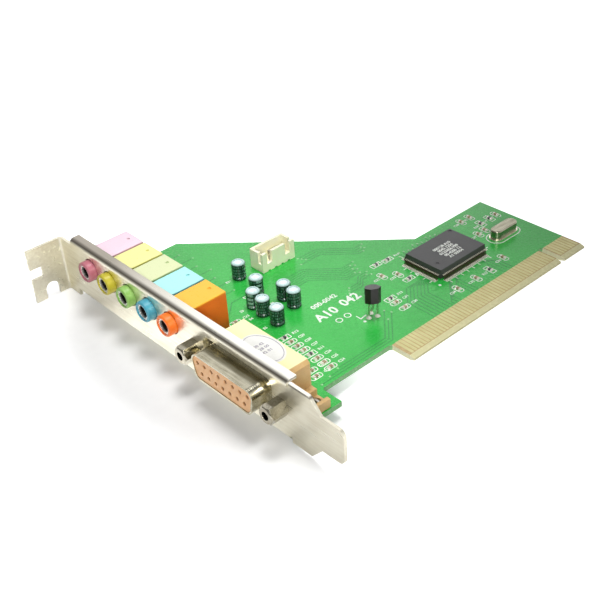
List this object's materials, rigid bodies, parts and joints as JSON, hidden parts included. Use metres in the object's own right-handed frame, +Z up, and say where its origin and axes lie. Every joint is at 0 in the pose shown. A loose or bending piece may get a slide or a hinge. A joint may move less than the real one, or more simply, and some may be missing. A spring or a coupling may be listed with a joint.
{
  "type": "sound card",
  "caption": "Expansion card with a slanted green board, folded steel bracket, coloured audio jacks, a game port, a sound chip and an edge of gold contacts.",
  "frame": {"origin": "under the middle of the whole card, on the plane of its lowest edge (the tab's lower edge)", "axes": "+X from the bracket along the contact edge, +Y from the contact edge towards the bracket's tab, +Z up from the board on the side that carries the parts"},
  "size_m": [0.1276, 0.12, 0.0195],
  "materials": {
    "blue_plastic": "moulded thermoplastic",
    "board_laminate": "green solder mask over glass laminate",
    "bracket_steel": "zinc-plated sheet steel",
    "bung_rubber": "moulded rubber",
    "bush_nickel": "nickel plating",
    "can_aluminium": "drawn aluminium",
    "capacitor_ceramic": "fired ceramic",
    "chip_epoxy": "moulded epoxy, matt top",
    "contact_gold": "thin gold plating",
    "crystal_rim": "nickel-plated steel",
    "crystal_steel": "nickel-plated drawn steel",
    "end_cap_tin": "tin plating with solder",
    "green_plastic": "moulded thermoplastic",
    "header_nylon": "natural nylon",
    "insulator_plastic": "moulded thermoplastic",
    "lead_tin": "tin plating",
    "orange_plastic": "moulded thermoplastic",
    "pink_plastic": "moulded thermoplastic",
    "port_plastic": "moulded thermoplastic",
    "regulator_epoxy": "moulded epoxy",
    "resistor_glaze": "dark glaze",
    "screw_nickel": "nickel plating",
    "shell_tin": "tin-plated drawn steel",
    "sleeve_film": "shrunk printed film",
    "spring_brass": "rolled strip",
    "sticker_paper": "coated paper",
    "tinned_metal": "tin plating",
    "tinned_wire": "tinned wire",
    "yellow_plastic": "moulded thermoplastic"
  },
  "bodies": {
    "root": {"audio_header_housing": "header_nylon", "audio_header_pins": "tinned_wire", "blue_jack_bush": "bush_nickel", "blue_jack_housing": "blue_plastic", "blue_jack_terminals": "spring_brass", "capacitor_bungs": "bung_rubber", "capacitor_can_1": "can_aluminium", "capacitor_can_2": "can_aluminium", "capacitor_can_3": "can_aluminium", "capacitor_can_4": "can_aluminium", "capacitor_can_5": "can_aluminium", "capacitor_can_6": "can_aluminium", "capacitor_can_7": "can_aluminium", "capacitor_sleeve_1": "sleeve_film", "capacitor_sleeve_2": "sleeve_film", "capacitor_sleeve_3": "sleeve_film", "capacitor_sleeve_4": "sleeve_film", "capacitor_sleeve_5": "sleeve_film", "capacitor_sleeve_6": "sleeve_film", "capacitor_sleeve_7": "sleeve_film", "capacitor_wires": "tinned_wire", "chip_capacitors": "capacitor_ceramic", "chip_end_caps": "end_cap_tin", "chip_resistors": "resistor_glaze", "circuit_board": "board_laminate", "crystal_base": "crystal_rim", "crystal_can": "crystal_steel", "crystal_wires": "tinned_wire", "front_contacts": "contact_gold", "game_port_board_locks": "tinned_metal", "game_port_contacts": "spring_brass", "game_port_housing": "port_plastic", "game_port_insulator": "insulator_plastic", "game_port_nuts": "tinned_metal", "game_port_shell": "shell_tin", "green_jack_bush": "bush_nickel", "green_jack_housing": "green_plastic", "green_jack_terminals": "spring_brass", "lower_hex_screw": "screw_nickel", "mounting_bracket": "bracket_steel", "orange_jack_bush": "bush_nickel", "orange_jack_housing": "orange_plastic", "orange_jack_terminals": "spring_brass", "oval_sticker": "sticker_paper", "pink_jack_bush": "bush_nickel", "pink_jack_housing": "pink_plastic", "pink_jack_terminals": "spring_brass", "rear_contacts": "contact_gold", "regulator_body": "regulator_epoxy", "regulator_legs": "tinned_wire", "sound_chip_body": "chip_epoxy", "sound_chip_leads": "lead_tin", "upper_hex_screw": "screw_nickel", "yellow_jack_bush": "bush_nickel", "yellow_jack_housing": "yellow_plastic", "yellow_jack_terminals": "spring_brass"}
  },
  "joints": []
}
